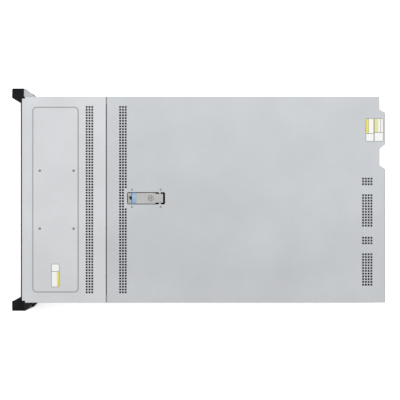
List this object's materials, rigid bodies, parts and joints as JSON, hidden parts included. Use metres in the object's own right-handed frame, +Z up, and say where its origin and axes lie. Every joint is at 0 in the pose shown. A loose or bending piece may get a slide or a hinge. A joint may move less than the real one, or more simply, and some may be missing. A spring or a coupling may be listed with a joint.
{
  "type": "rack server",
  "caption": "Rack server with a lift-off rear lid and latch, rack ears with grips, hot-swap drives, fans, accelerator cards and power supplies.",
  "frame": {"origin": "middle of the underside of the whole object, ears included, on the surface it stands on", "axes": "+Z up; +Y from the front, with the ears and drives, to the rear; +X to the right seen from the front"},
  "size_m": [0.4826, 0.809, 0.1748],
  "materials": {
    "cover_steel": "satin zinc-coated sheet",
    "zinc_plate": "zinc-coated sheet",
    "lever_metal": "satin",
    "hardware": "plated",
    "black_steel": "fine black powder coat",
    "dark_metal": "dark anodised",
    "bare_aluminium": "bare",
    "black_moulding": "moulded, fine grain",
    "grey_moulding": "moulded",
    "blue_touch": "pale blue touch point",
    "green_touch": "green touch point",
    "circuit_board": "solder mask"
  },
  "bodies": {
    "chassis": {"base_pan": "zinc_plate", "side_wall_left": "zinc_plate", "side_wall_right": "zinc_plate", "rear_panel": "zinc_plate", "cross_bar": "zinc_plate", "front_cover": "cover_steel", "front_cover_screws": "hardware", "ear_bracket_left": "zinc_plate", "ear_bracket_right": "black_steel", "ear_handle_left": "black_moulding", "ear_handle_right": "black_moulding", "front_grille": "black_steel", "control_panel": "black_moulding", "drive_cage": "zinc_plate", "drive_backplane": "circuit_board", "fan_wall": "zinc_plate", "fan_frames": "black_moulding", "motherboard": "circuit_board", "cpu_heatsinks": "bare_aluminium", "memory_modules": "circuit_board", "card_board": "circuit_board", "accelerator_cards": "dark_metal", "psu_cage": "zinc_plate"},
    "rear_lid": {"rear_lid": "cover_steel", "latch_housing": "zinc_plate", "latch_rivets": "hardware", "latch_hinge_pin": "hardware"},
    "latch_lever": {"latch_lever": "lever_metal"},
    "latch_touch_button": {"latch_touch_button": "blue_touch"},
    "latch_lock": {"latch_lock": "hardware"},
    "power_button": {"power_button": "grey_moulding"},
    "locate_button": {"locate_button": "grey_moulding"},
    "drive_carrier_1": {"drive_carrier_1": "black_moulding"},
    "carrier_lever_1": {"carrier_lever_1": "grey_moulding"},
    "drive_carrier_2": {"drive_carrier_2": "black_moulding"},
    "carrier_lever_2": {"carrier_lever_2": "grey_moulding"},
    "drive_carrier_3": {"drive_carrier_3": "black_moulding"},
    "carrier_lever_3": {"carrier_lever_3": "grey_moulding"},
    "drive_carrier_4": {"drive_carrier_4": "black_moulding"},
    "carrier_lever_4": {"carrier_lever_4": "grey_moulding"},
    "drive_carrier_5": {"drive_carrier_5": "black_moulding"},
    "carrier_lever_5": {"carrier_lever_5": "grey_moulding"},
    "drive_carrier_6": {"drive_carrier_6": "black_moulding"},
    "carrier_lever_6": {"carrier_lever_6": "grey_moulding"},
    "drive_carrier_7": {"drive_carrier_7": "black_moulding"},
    "carrier_lever_7": {"carrier_lever_7": "grey_moulding"},
    "drive_carrier_8": {"drive_carrier_8": "black_moulding"},
    "carrier_lever_8": {"carrier_lever_8": "grey_moulding"},
    "fan_rotor_1": {"fan_rotor_1": "black_moulding"},
    "fan_rotor_2": {"fan_rotor_2": "black_moulding"},
    "fan_rotor_3": {"fan_rotor_3": "black_moulding"},
    "power_supply_1": {"power_supply_1": "zinc_plate"},
    "psu_latch_1": {"psu_latch_1": "green_touch"},
    "power_supply_2": {"power_supply_2": "zinc_plate"},
    "psu_latch_2": {"psu_latch_2": "green_touch"},
    "power_supply_3": {"power_supply_3": "zinc_plate"},
    "psu_latch_3": {"psu_latch_3": "green_touch"},
    "power_supply_4": {"power_supply_4": "zinc_plate"},
    "psu_latch_4": {"psu_latch_4": "green_touch"}
  },
  "joints": [
    {"name": "rear_lid_lift", "type": "slide", "parent": "chassis", "child": "rear_lid", "axis": [0, 0, 1], "range_m": [0, 0.2]},
    {"name": "latch_lever_hinge", "type": "hinge", "parent": "rear_lid", "child": "latch_lever", "pos_m": [-0.003, -0.084, 0.166], "axis": [-1, 0, 0], "range_deg": [0, 80]},
    {"name": "latch_touch_press", "type": "slide", "parent": "latch_lever", "child": "latch_touch_button", "axis": [0, 0, -1], "range_m": [0, 0.0022], "stiffness_N_per_m": 400},
    {"name": "latch_lock_turn", "type": "hinge", "parent": "latch_lever", "child": "latch_lock", "pos_m": [-0.003, -0.1023, 0.174], "axis": [0, 0, 1], "range_deg": [0, 90]},
    {"name": "power_button_press", "type": "slide", "parent": "chassis", "child": "power_button", "axis": [0, 1, 0], "range_m": [0, 0.002], "stiffness_N_per_m": 400},
    {"name": "locate_button_press", "type": "slide", "parent": "chassis", "child": "locate_button", "axis": [0, 1, 0], "range_m": [0, 0.002], "stiffness_N_per_m": 400},
    {"name": "drive_carrier_1_slide", "type": "slide", "parent": "chassis", "child": "drive_carrier_1", "axis": [0, -1, 0], "range_m": [0, 0.14]},
    {"name": "carrier_lever_1_hinge", "type": "hinge", "parent": "drive_carrier_1", "child": "carrier_lever_1", "pos_m": [-0.1147, -0.3815, 0.0166], "axis": [0, 0, 1], "range_deg": [0, 60]},
    {"name": "drive_carrier_2_slide", "type": "slide", "parent": "chassis", "child": "drive_carrier_2", "axis": [0, -1, 0], "range_m": [0, 0.14]},
    {"name": "carrier_lever_2_hinge", "type": "hinge", "parent": "drive_carrier_2", "child": "carrier_lever_2", "pos_m": [-0.0071, -0.3815, 0.0166], "axis": [0, 0, 1], "range_deg": [0, 60]},
    {"name": "drive_carrier_3_slide", "type": "slide", "parent": "chassis", "child": "drive_carrier_3", "axis": [0, -1, 0], "range_m": [0, 0.14]},
    {"name": "carrier_lever_3_hinge", "type": "hinge", "parent": "drive_carrier_3", "child": "carrier_lever_3", "pos_m": [0.1005, -0.3815, 0.0166], "axis": [0, 0, 1], "range_deg": [0, 60]},
    {"name": "drive_carrier_4_slide", "type": "slide", "parent": "chassis", "child": "drive_carrier_4", "axis": [0, -1, 0], "range_m": [0, 0.14]},
    {"name": "carrier_lever_4_hinge", "type": "hinge", "parent": "drive_carrier_4", "child": "carrier_lever_4", "pos_m": [0.2081, -0.3815, 0.0166], "axis": [0, 0, 1], "range_deg": [0, 60]},
    {"name": "drive_carrier_5_slide", "type": "slide", "parent": "chassis", "child": "drive_carrier_5", "axis": [0, -1, 0], "range_m": [0, 0.14]},
    {"name": "carrier_lever_5_hinge", "type": "hinge", "parent": "drive_carrier_5", "child": "carrier_lever_5", "pos_m": [-0.1147, -0.3815, 0.0458], "axis": [0, 0, 1], "range_deg": [0, 60]},
    {"name": "drive_carrier_6_slide", "type": "slide", "parent": "chassis", "child": "drive_carrier_6", "axis": [0, -1, 0], "range_m": [0, 0.14]},
    {"name": "carrier_lever_6_hinge", "type": "hinge", "parent": "drive_carrier_6", "child": "carrier_lever_6", "pos_m": [-0.0071, -0.3815, 0.0458], "axis": [0, 0, 1], "range_deg": [0, 60]},
    {"name": "drive_carrier_7_slide", "type": "slide", "parent": "chassis", "child": "drive_carrier_7", "axis": [0, -1, 0], "range_m": [0, 0.14]},
    {"name": "carrier_lever_7_hinge", "type": "hinge", "parent": "drive_carrier_7", "child": "carrier_lever_7", "pos_m": [0.1005, -0.3815, 0.0458], "axis": [0, 0, 1], "range_deg": [0, 60]},
    {"name": "drive_carrier_8_slide", "type": "slide", "parent": "chassis", "child": "drive_carrier_8", "axis": [0, -1, 0], "range_m": [0, 0.14]},
    {"name": "carrier_lever_8_hinge", "type": "hinge", "parent": "drive_carrier_8", "child": "carrier_lever_8", "pos_m": [0.2081, -0.3815, 0.0458], "axis": [0, 0, 1], "range_deg": [0, 60]},
    {"name": "fan_rotor_1_spin", "type": "hinge", "parent": "chassis", "child": "fan_rotor_1", "pos_m": [-0.142, -0.1716, 0.076], "axis": [0, 1, 0], "continuous": true},
    {"name": "fan_rotor_2_spin", "type": "hinge", "parent": "chassis", "child": "fan_rotor_2", "pos_m": [0, -0.1716, 0.076], "axis": [0, 1, 0], "continuous": true},
    {"name": "fan_rotor_3_spin", "type": "hinge", "parent": "chassis", "child": "fan_rotor_3", "pos_m": [0.142, -0.1716, 0.076], "axis": [0, 1, 0], "continuous": true},
    {"name": "power_supply_1_slide", "type": "slide", "parent": "chassis", "child": "power_supply_1", "axis": [0, 1, 0], "range_m": [0, 0.17]},
    {"name": "psu_latch_1_squeeze", "type": "hinge", "parent": "power_supply_1", "child": "psu_latch_1", "pos_m": [0.21245, 0.3875, 0.0217], "axis": [0, 0, 1], "range_deg": [0, 12], "stiffness_Nm_per_rad": 0.2},
    {"name": "power_supply_2_slide", "type": "slide", "parent": "chassis", "child": "power_supply_2", "axis": [0, 1, 0], "range_m": [0, 0.17]},
    {"name": "psu_latch_2_squeeze", "type": "hinge", "parent": "power_supply_2", "child": "psu_latch_2", "pos_m": [0.13695, 0.3875, 0.0217], "axis": [0, 0, 1], "range_deg": [0, 12], "stiffness_Nm_per_rad": 0.2},
    {"name": "power_supply_3_slide", "type": "slide", "parent": "chassis", "child": "power_supply_3", "axis": [0, 1, 0], "range_m": [0, 0.17]},
    {"name": "psu_latch_3_squeeze", "type": "hinge", "parent": "power_supply_3", "child": "psu_latch_3", "pos_m": [0.06145, 0.3875, 0.0217], "axis": [0, 0, 1], "range_deg": [0, 12], "stiffness_Nm_per_rad": 0.2},
    {"name": "power_supply_4_slide", "type": "slide", "parent": "chassis", "child": "power_supply_4", "axis": [0, 1, 0], "range_m": [0, 0.17]},
    {"name": "psu_latch_4_squeeze", "type": "hinge", "parent": "power_supply_4", "child": "psu_latch_4", "pos_m": [-0.01405, 0.3875, 0.0217], "axis": [0, 0, 1], "range_deg": [0, 12], "stiffness_Nm_per_rad": 0.2}
  ]
}
